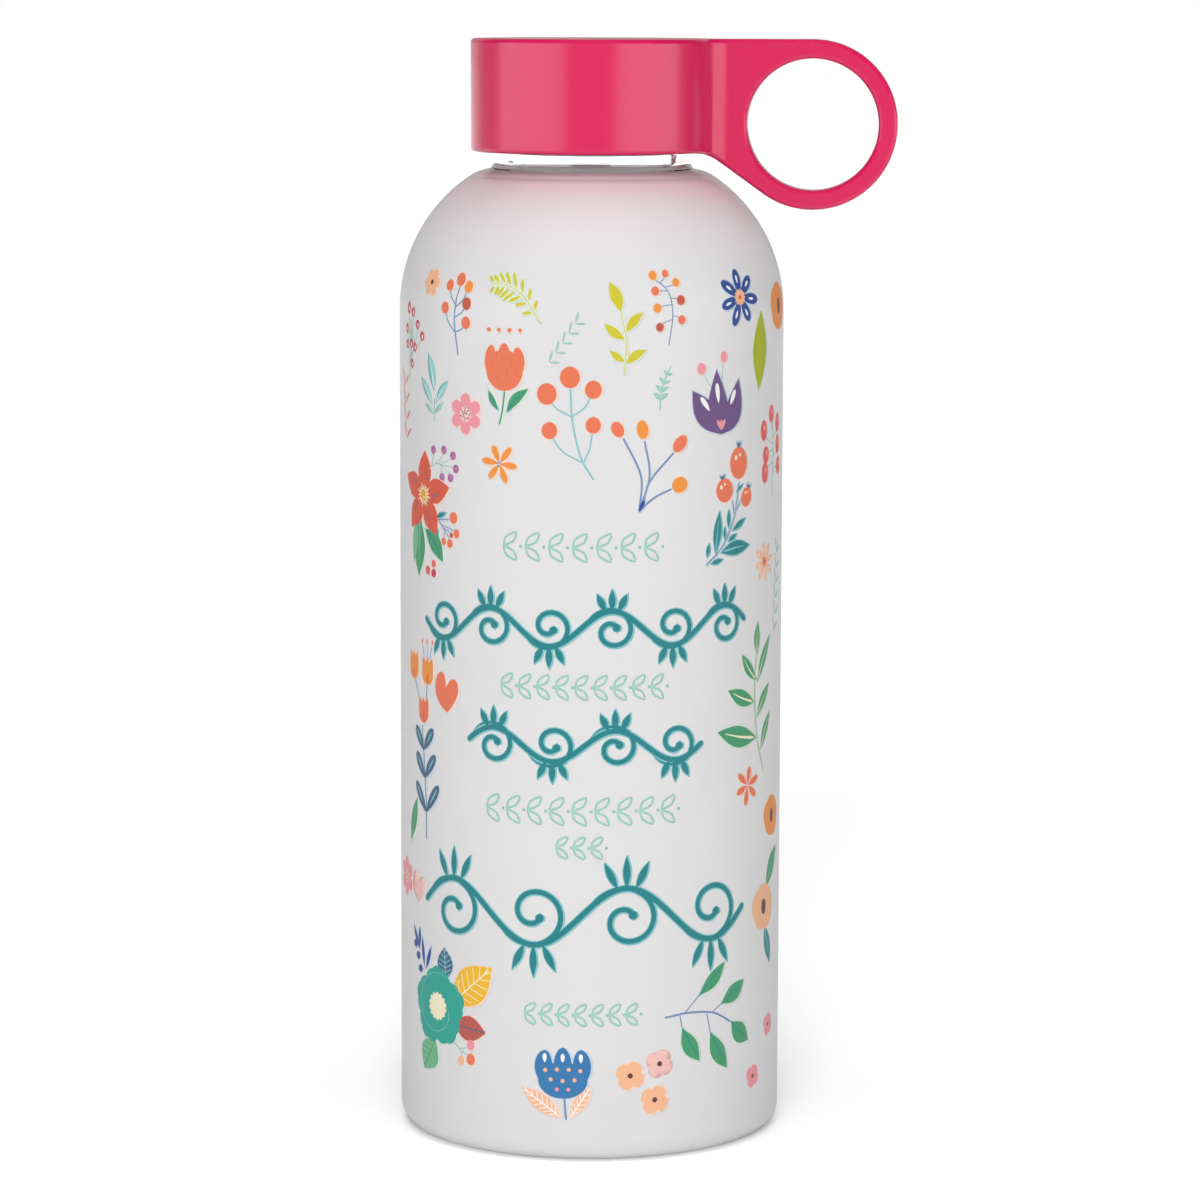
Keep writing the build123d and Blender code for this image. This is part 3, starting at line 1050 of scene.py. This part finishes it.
def star_daisy():
    """Six narrow orange petals round a few lilac seeds."""
    seeds = dotted_heart(["lilac", "slate", "rust"], 0.6, 8, 0.14)
    return daisy("orange", 6, 3.9, 1.3, seeds, start=112)


def coral_daisy():
    """Six narrow coral petals round a few lilac lines."""
    seeds = [line("lilac", [(-0.4, 0.3 * row), (0.5, 0.3 * row + 0.15)], 0.12) for row in range(-1, 2)]
    return daisy("coral", 6, 3.9, 1.35, seeds, start=80)


def peach_daisy():
    """Eight thin pale petals round an orange heart."""
    seeds = [disc("coral", 0, 0, 0.85, 1.1), disc("brown", 0, 0, 0.2)]
    return daisy("peach", 8, 4.0, 1.0, seeds, "white", 100)


def pink_flower():
    """Six round pink petals, their heart full of dark seeds."""
    petal = [blade("pink", [(0, 0.4), (0, 3.9)], 2.5, "petal")]
    seeds = dotted_heart(["brown", "brown", "white"], 1.35, 26, 0.15)
    return ring_of([petal], 6) + [disc("blush", 0, 0, 1.5)] + seeds


def orange_berries():
    """Five large round berries on a forked stem."""
    branches = [
        (0.72, (-5.5, 5.5), 1.9, "coral"),
        (1.0, (-1.1, 8.7), 1.9, "coral"),
        (0.72, (3.3, 6.4), 1.6, "coral"),
        (0.26, (-5.0, -1.4), 1.5, "coral"),
        (0.26, (3.3, -0.3), 1.45, "coral"),
    ]
    return berries("aqua", [(3.4, -10.6), (1.0, -6.4), (-0.6, 0.2), (-1.0, 6.5)], branches, 0.34)


def bud_branch():
    """Four oval buds on blue stalks from one foot."""
    shapes = []
    for stalk in (
        [(-2.3, -8.6), (-2.0, -2.0), (-5.4, 5.2)],
        [(-2.3, -8.6), (-0.3, -2.0), (-1.3, 4.6)],
        [(-1.6, -7.6), (-0.2, -3.0), (4.6, 2.3)],
        [(-2.3, -8.6), (0.6, -6.2), (4.2, -4.6)],
    ):
        shapes.append(line("sky", stalk, 0.38))
    shapes.append(blade("navy", [(-2.4, -8.8), (-1.3, -6.6)], 0.8, "petal"))
    for ink, radius, tall, x, y, turn in (
        ("coral", 1.15, 1.35, -6.5, 6.9, 28),
        ("orange", 1.15, 1.55, -1.7, 6.8, 8),
        ("coral", 1.2, 1.55, 5.9, 3.9, -42),
        ("orange", 1.5, 1.1, 5.9, -3.9, -70),
    ):
        shapes += moved([disc(ink, 0, 0, radius, tall)], x, y, turn)
    return shapes


def aqua_leaves():
    """Three long aqua leaves with pale ribs over two faint ones."""
    large = [
        ((0.2, -0.8), (-1.8, 6.6), 2.3, -0.3),
        ((-0.4, -3.4), (-4.6, 1.8), 1.9, -0.2),
        ((0.8, -3.0), (4.6, 1.6), 1.7, 0.2),
    ]
    faint = [((0.4, -5.0), (3.2, -2.6), 1.0, 0), ((0.3, -5.2), (-3.0, -3.2), 1.0, 0)]
    stem = line("aqua", [(0.4, -6.8), (0.3, -2.0)], 0.15)
    return [stem] + leaves("aqua", "white", large) + leaves("mint", None, faint)


def lime_leaf():
    """One long leaf with brush marks."""
    marks = [(-0.9, -3.0), (0.3, -4.6), (0.8, -1.2), (-0.6, 0.8), (0.5, 2.2), (-0.2, -0.6)]
    return [blade("lime", [(-0.3, -7.7), (0.1, 0), (0.3, 7.7)], 5.2)] + streaks("moss", marks, 1.8, 0.13)


def crimson_berries():
    """Oval crimson berries with pale glints on a forked stem."""
    spots = [
        (-3.4, 5.6, 1.5),
        (-1.2, 4.9, 1.2),
        (0.9, 2.6, 1.1),
        (2.8, 0.5, 0.9),
        (-4.6, 1.6, 1.3),
        (-4.4, -1.4, 1.1),
        (-2.2, -1.2, 1.0),
        (-0.4, -1.8, 1.0),
        (-1.9, -5.0, 1.1),
    ]
    branches = [(0.2 + 0.09 * place, (x, y), 0.85, "crimson") for place, (x, y, _) in enumerate(spots)]
    shapes = berries("mint", [(-2.8, -8.4), (-3.2, -3.0), (-2.4, 3.4)], branches, 0.2)
    for x, y, tall in spots:
        shapes.append(disc("crimson", x, y, 0.8, tall))
        shapes.append(disc("white", x + 0.1, y - 0.1, 0.26, 1.6))
    return shapes


def red_berries():
    """Large oval red berries up both sides of a thin stem."""
    spots = [(-0.6, 6.4), (3.2, 4.4), (-4.2, 3.4), (-3.2, -1.4), (3.4, 0.2), (-3.6, -4.8), (4.0, -4.0)]
    branches = [(0.35 + 0.08 * place, spot, 0.5, "rose") for place, spot in enumerate(reversed(spots))]
    shapes = berries("mint", [(0.2, -9.6), (0.6, -2.0), (0.2, 5.2)], branches, 0.2)
    for place, (x, y) in enumerate(spots):
        tall = 1.25 + 0.12 * (place % 3)
        shapes += [disc("rose", x, y, 1.35, tall), disc("blush", x + 0.3, y + 0.5, 0.3, 1.7)]
    return shapes


def lilac_berries():
    """Six small lilac berries on faint stalks."""
    spots = [(-3.3, 3.0), (0.0, 3.2), (2.6, 2.3), (3.4, -0.2), (1.9, -2.0), (-0.6, -2.1)]
    branches = [(0.2 + 0.14 * place, spot, 0.78, "lilac") for place, spot in enumerate(spots)]
    return berries("mint", [(-5.0, -0.8), (-2.6, 0.3), (-0.6, 0.4)], branches, 0.14)


def large_bunch():
    """The large red flower with leaves under it and two sprigs of berries."""
    shapes = ribbed_leaf("leaf", (-1.6, -4.0), (-2.0, -16.0), 4.6, "fern")
    shapes += ribbed_leaf("fern", (-3.0, -4.0), (-4.2, -13.6), 2.4)
    shapes += ribbed_leaf("leaf", (0.6, -6.4), (6.6, -12.4), 3.6, "teal", 0.6)
    low = [
        (0.5, (3.6, -13.0), 0.7, "rose"),
        (0.9, (1.6, -14.4), 0.8, "rose"),
        (0.7, (3.6, -14.8), 0.8, "crimson"),
    ]
    shapes += berries("white", [(0.4, -9.0), (1.8, -11.6), (2.4, -13.2)], low, 0.16)
    side = [
        (0.4, (9.6, -3.6), 1.05, "coral"),
        (0.7, (10.4, -6.6), 0.8, "coral"),
        (1.0, (8.6, -8.6), 0.8, "coral"),
        (0.9, (6.8, -8.4), 0.7, "coral"),
        (0.8, (9.0, -7.0), 0.5, "rust"),
    ]
    shapes += berries("plum", [(3.4, -3.4), (5.4, -4.6), (7.6, -6.6)], side, 0.16)
    shapes += ribbed_leaf("teal", (4.2, -4.0), (7.4, -2.8), 0.9)
    shapes += ribbed_leaf("teal", (4.0, -4.4), (5.0, -7.6), 0.8)
    return shapes + moved(star_flower("red", "plum", 8.7), turn=-4)


def corner_bunch():
    """The large sea-green flower with yellow, rust, green and dark leaves, a navy twig and three berries."""
    shapes = [line("cream", [(-2.8, 5.0), (-5.0, 9.0), (-7.4, 12.0)], 0.24)]
    for root, tip in (
        ((-4.6, 7.0), (-5.6, 13.0)),
        ((-4.0, 6.6), (-2.0, 11.6)),
        ((-6.6, 10.0), (-9.4, 14.6)),
        ((-6.6, 10.4), (-6.6, 14.8)),
    ):
        shapes.append(blade("navy", [root, tip], 1.1))
    for x, y in ((-6.2, 6.4), (-7.2, 8.8), (-8.4, 11.0)):
        shapes.append(disc("navy", x, y, 0.85, 0.9))
    shapes += veined_leaf("slate", "aqua", (2.6, 5.4), (2.2, 12.0), 4.6, 6)
    shapes += veined_leaf("yellow", "cream", (4.4, 1.2), (14.4, 9.6), 7.4, 7)
    shapes += veined_leaf("rust", "slate", (4.8, -2.6), (13.0, -3.4), 5.0, 6)
    shapes += veined_leaf("fern", "leaf", (-0.6, -6.6), (-4.8, -13.2), 6.4, 6)
    fruit = [
        (0.6, (9.4, -6.2), 0.95, "pink"),
        (0.8, (6.9, -9.6), 0.85, "peach"),
        (1.0, (9.4, -9.0), 1.05, "coral"),
    ]
    shapes += berries("mint", [(3.2, -4.6), (6.0, -7.0), (7.8, -8.0)], fruit, 0.2)
    return shapes + ruffled_flower("sea", frilled_heart("cream", "cream", 2.4, 14), 8.0)


def blue_branch():
    """Three pairs of ribbed club-shaped leaves up a thin stem."""
    stem = [(0.2, -11.0), (0.0, -2.0), (-1.4, 11.0)]
    shapes = [line("slate", stem, 0.26)]
    for pair, (y, length) in enumerate(((-5.8, 6.6), (0.9, 5.6), (6.3, 5.2))):
        root = (0.1 - 0.45 * pair, y)
        left = (root[0] - 0.62 * length, y + 0.84 * length)
        right = (root[0] + 0.66 * length, y + 0.86 * length)
        for tip in (left, right):
            shapes.append(blade("slate", [root, tip], 2.1, "petal"))
            inner = [along([root, tip], 0.3), along([root, tip], 0.86)]
            shapes.append(blade("aqua", inner, 0.34, "petal"))
    return shapes


def green_branch():
    """Large ribbed green leaves on a bending stem."""
    shapes = [line("leaf", [(3.2, -14.6), (0.4, -7.0), (-0.4, 3.0), (0.6, 10.0)], 0.2)]
    for base, tip, width in (
        ((0.6, 8.2), (0.8, 14.6), 2.2),
        ((0.2, 3.2), (-4.8, 8.8), 2.4),
        ((0.6, 2.8), (6.4, 11.6), 2.2),
        ((-0.4, -1.0), (-8.8, 2.2), 3.2),
        ((0.6, -4.0), (6.0, 2.0), 2.2),
        ((0.4, -8.0), (-11.6, -5.6), 4.2),
        ((2.2, -10.6), (6.6, -3.6), 2.2),
    ):
        shapes += ribbed_leaf("leaf", base, tip, width, "cream", 0.3)
    return shapes


def low_branch():
    """Five green leaves on thin blue stalks off a curved twig."""
    twig = [(-9.8, 0.9), (-4.8, 1.4), (1.2, 0.7), (6.0, -1.8)]
    shapes = [line("sky", twig, 0.4)]
    for root, base, tip, width in (
        ((-5.4, 1.5), (-2.2, 4.6), (4.2, 10.4), 2.8),
        ((0.8, 0.7), (3.4, 2.2), (10.0, 6.0), 3.4),
        ((-6.6, 1.4), (-6.0, -1.6), (-2.0, -8.4), 3.4),
        ((-0.4, 1.0), (0.6, -3.2), (5.0, -10.8), 3.6),
        ((5.6, -1.5), (6.2, -1.9), (11.6, -6.4), 4.0),
    ):
        shapes.append(line("sky", [root, base], 0.22))
        shapes += ribbed_leaf("leaf", base, tip, width, None, -0.3)
        shapes.append(line("teal", [base, along([base, tip], 0.78)], 0.2))
    return shapes


def poppy(ink, radius):
    """A broad flower of five round petals with an oval dark heart."""
    pair = [[blade(ink, [(0, 0), (0, radius * far)], radius * 1.15, "petal")] for far in (0.95, 1.0)]
    return ring_of(pair, 5) + [disc("brown", 0, 0, radius * 0.22, 1.5)]


def side_poppy():
    """A peach flower between a green leaf and a teal one."""
    shapes = ribbed_leaf("leaf", (1.0, 3.6), (7.4, 11.0), 3.6, "fern", 0.4)
    shapes += ribbed_leaf("teal", (0.6, -4.0), (3.4, -11.6), 2.8, "aqua")
    return shapes + poppy("peach", 4.8)


def clover(ink):
    """A four-lobed blossom with a brown eye."""
    return blossom(ink, 4, 2.9)


# ---------------- layouts
#
# Each row has a motif, the degrees round from the middle of the front, and the height in millimetres.

front_flowers = [
    (peach_blossom(), -55.5, 168),
    (coral_sprig(), -43, 162.5),
    (fern(), -22.5, 166),
    (moved(chevrons("mint", 5, 2.2, 2.2), turn=-34), -7.5, 158.5),
    (leafy_branch(), 8.5, 160.5),
    (small_berries(), 23.5, 164),
    (navy_daisy(), 49, 165.5),
    (poppy("orange", 4.8), 74, 163),
    (tulip(), -26, 151.5),
    (pink_flower(), -39.5, 143.5),
    (aqua_leaves(), -53.5, 148),
    (sprig("mint", [(-0.6, -4.2), (-0.2, 0), (1.6, 4.2)], 4, 2.2, 0.8), 21, 149),
    (orange_berries(), -4.5, 142.5),
    (lime_leaf(), 59, 155),
    (cup_bloom(), 40, 145.5),
    (crimson_berries(), -64, 157),
    (moved(chevrons("crimson", 4, 3.4, 3.6), turn=8), -73, 144),
    (large_bunch(), -59, 127),
    (lilac_berries(), -48.5, 133),
    (star_daisy(), -27.5, 134.5),
    (bud_branch(), 17.5, 134.5),
    (rose_hips(), 44, 127.5),
    (red_berries(), 68.5, 136),
    (peach_daisy(), 63, 114),
    (moved(chevrons("mint", 6, 3.0, 3.0), turn=-6), 73, 109),
    (bells(), -59, 90),
    (heart("coral", 6.2), -47, 89.5),
    (blue_branch(), -58, 71),
    (ribbed_leaf("leaf", (-1.6, -4.6), (1.6, 4.6), 2.8, "fern"), -66, 63),
    (pink_flower(), -73, 51),
    (heart("blush", 5.0), -62.5, 50),
    (green_branch(), 58, 88),
    (coral_daisy(), 54, 71),
    (poppy("orange", 4.2), 70.5, 63.5),
    (side_poppy(), 64.5, 46),
    (corner_bunch(), -52, 27.5),
    (dotted_tulip(), -8.5, 17),
    (clover("peach"), 12, 17),
    (clover("blush"), 21, 19),
    (clover("peach"), 19.5, 12),
    (low_branch(), 37.5, 27),
    (blossom("pink", 4, 2.3), 68.5, 22),
    (blossom("pink", 4, 2.3), 58, 13),
]
print_on_glass("print_front_flowers", front_flowers)

scrolls = [
    (vine(72, 24, 3.4, 1.0), -3, 103.5),
    (vine(48, 24, 3.0, 1.0), -2, 81),
    (vine(72, 36, 5.6, 1.1), -3, 48),
]
print_on_glass("print_scrolls", scrolls)

garlands = [
    (garland(32, 2.7), -3, 119),
    (garland(33, 2.4), -2.5, 92.3),
    (garland(39, 2.7), -3, 68.5),
    (garland(10, 2.2), -3, 61.5),
    (garland(23, 2.2), -2.5, 29),
]
print_on_glass("print_garlands", garlands)

# the back repeats the same flowers in rows between the two edges of the front
BACK_ROWS = 8
BACK_COLUMNS = 7
BACK_START = 101                    # degrees round from the middle of the front
BACK_SPAN = 158
BACK_FOOT = 17
BACK_RISE = 20.5
BACK_MOTIFS = [
    tulip(),
    coral_daisy(),
    coral_sprig(),
    clover("blush"),
    navy_daisy(),
    fern(),
    star_daisy(),
    small_berries(),
    poppy("peach", 3.6),
    leafy_branch(),
    cup_bloom(),
    pink_flower(),
    bud_branch(),
    clover("peach"),
    peach_daisy(),
]
back_flowers = []
for row in range(BACK_ROWS):
    for column in range(BACK_COLUMNS):
        motif = BACK_MOTIFS[(row * 4 + column * 2 + row // 4) % len(BACK_MOTIFS)]
        degrees = BACK_START + BACK_SPAN * (column + 0.35 + 0.3 * (row % 2)) / BACK_COLUMNS
        height = BACK_FOOT + BACK_RISE * row + 3.5 * (column % 2)
        lean = 9 * ((row + column) % 3 - 1)
        back_flowers.append((moved(motif, turn=lean, size=0.92), degrees, height))
print_on_glass("print_back_flowers", back_flowers)

# ---------------- floor and light


def make_floor():
    """A plain white floor that runs out of sight."""
    half = 12.0
    corners = [(half * x, half * y, 0) for x, y in ((-1, -1), (1, -1), (1, 1), (-1, 1))]
    material, nodes, output = new_material("floor")
    paper = put(nodes, "BsdfDiffuse", Color=(0.97, 0.97, 0.97, 1))
    join(paper, "BSDF", output, "Surface")
    add_mesh("floor", corners, [(0, 1, 2, 3)], [material], [0])


def make_softbox(name, azimuth, distance, height, width, tall, power):
    """A large soft light, that many degrees round from the camera, aimed at the bottle's middle."""
    data = bpy.data.lights.new(name, "AREA")
    data.shape = "RECTANGLE"
    data.size = width
    data.size_y = tall
    data.energy = power
    light = add_object(name, data)
    light.location = away_at(azimuth) * distance + Vector((0, 0, height))
    look_along(light, Vector((0, 0, RIM_Z / 2)) - light.location)
    light.visible_camera = False
    return light


def make_backdrop():
    """A white wall behind the bottle that shows only in its reflections and through its clear glass."""
    wall = make_softbox("backdrop", 180, 1.3, 0.30, 2.6, 1.6, 6.5)
    wall.visible_diffuse = False


def make_sky(ambient, seen):
    """Even white light from all round, and a white background behind the floor."""
    world = bpy.data.worlds.new("studio")
    world.use_nodes = True
    nodes = world.node_tree.nodes
    nodes.clear()
    output = nodes.new("ShaderNodeOutputWorld")
    path = nodes.new("ShaderNodeLightPath")
    lit = put(nodes, "Background", Color=(1, 1, 1, 1), Strength=ambient)
    shown = put(nodes, "Background", Color=(1, 1, 1, 1), Strength=seen)
    mix = nodes.new("ShaderNodeMixShader")
    join(path, "Is Camera Ray", mix, "Fac")
    join(lit, "Background", mix, 1)
    join(shown, "Background", mix, 2)
    join(mix, "Shader", output, "Surface")
    bpy.context.scene.world = world


def make_sun(name, azimuth, elevation, strength, softness):
    """Even light from one direction, that many degrees round from the camera and up from the floor."""
    data = bpy.data.lights.new(name, "SUN")
    data.energy = strength
    data.angle = math.radians(softness)
    light = add_object(name, data)
    rise = math.radians(elevation)
    source = away_at(azimuth) * math.cos(rise) + Vector((0, 0, math.sin(rise)))
    look_along(light, -source)
    light.visible_glossy = False


make_floor()
make_sky(0.08, 1.0)
make_sun("overhead", 0, 80, 2.1, 60)
make_sun("key", -3, 18, 2.9, 30)
make_sun("back", 180, 25, 0.4, 60)
make_softbox("softbox_left", -61, 1.0, 0.22, 1.45, 0.25, 3.0)
make_softbox("softbox_right", 55, 1.0, 0.22, 1.30, 0.25, 2.9)
make_backdrop()
bpy.context.scene.view_settings.view_transform = "Standard"
